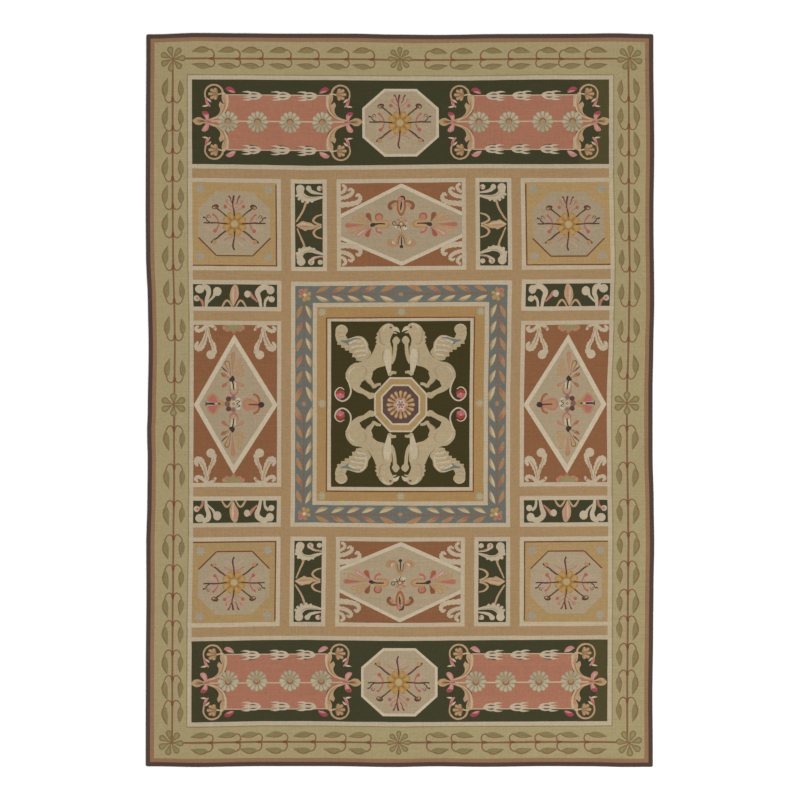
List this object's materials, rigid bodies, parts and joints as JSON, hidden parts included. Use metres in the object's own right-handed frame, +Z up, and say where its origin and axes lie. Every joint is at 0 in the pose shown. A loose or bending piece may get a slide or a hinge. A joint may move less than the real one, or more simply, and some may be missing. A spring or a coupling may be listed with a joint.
{
  "type": "area rug",
  "caption": "Large rectangular flat area rug of woven wool with an inlaid panelled design and a dark woven tape sewn round its edge.",
  "frame": {"origin": "middle of the underside, on the floor, at the centre of the rug's bounding box", "axes": "+Y along the rug's length towards its head, +X across its width, +Z up out of its face"},
  "size_m": [2.75, 3.9696, 0.0056],
  "materials": {
    "woven_wool": "matte wool, many dyed colours",
    "edge_tape": "matte dark brown wool tape"
  },
  "bodies": {
    "root": {"woven_cloth": "woven_wool", "tape_left": "edge_tape", "tape_right": "edge_tape", "tape_head": "edge_tape", "tape_foot": "edge_tape"}
  },
  "joints": []
}
